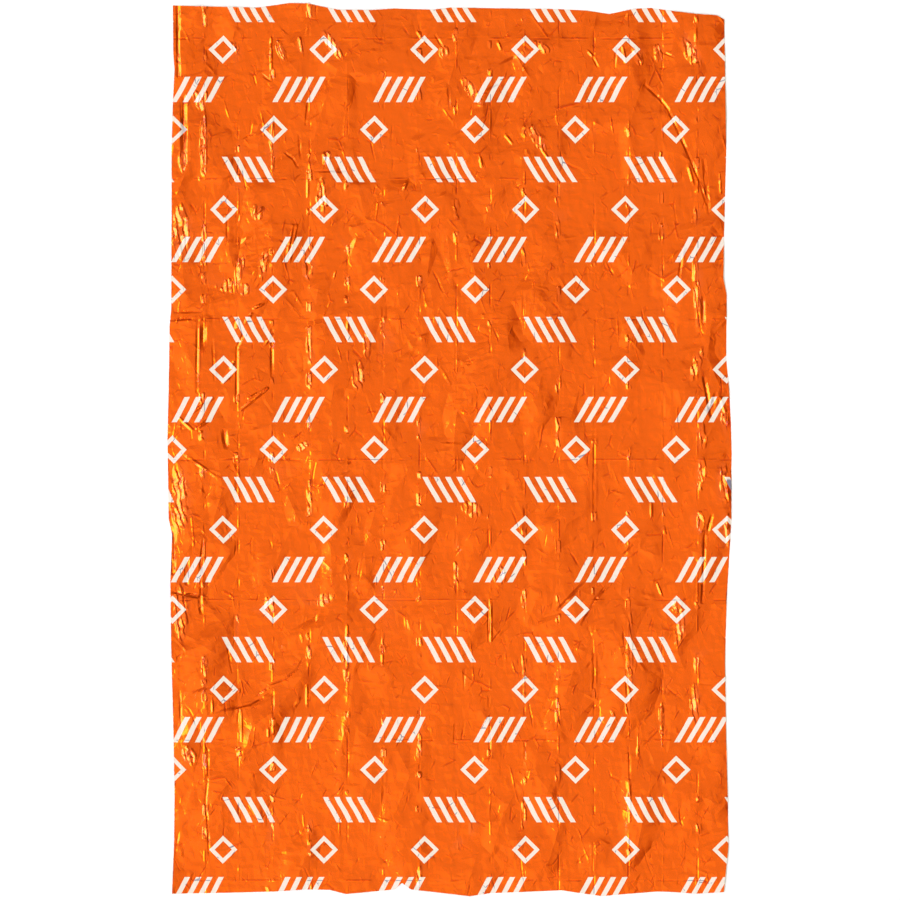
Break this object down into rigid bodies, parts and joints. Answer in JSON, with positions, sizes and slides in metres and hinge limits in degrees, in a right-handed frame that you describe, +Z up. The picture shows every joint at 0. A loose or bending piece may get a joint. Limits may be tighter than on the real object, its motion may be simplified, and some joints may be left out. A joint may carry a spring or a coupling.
{
  "type": "emergency foil blanket",
  "caption": "Thin metallised-film blanket spread flat, with narrow storage folds, slanting creases, crumpled side strips and wandering cut edges.",
  "frame": {"origin": "on the floor under the middle of the sheet's outline", "axes": "+X across the sheet, +Y along it, +Z up from the floor it lies on"},
  "size_m": [1.3394, 2.1204, 0.0161],
  "materials": {
    "orange_film": "orange lacquered metal film, creased and glossy, with a plain white printed pattern"
  },
  "bodies": {
    "root": {"foil_sheet": "orange_film"}
  },
  "joints": []
}
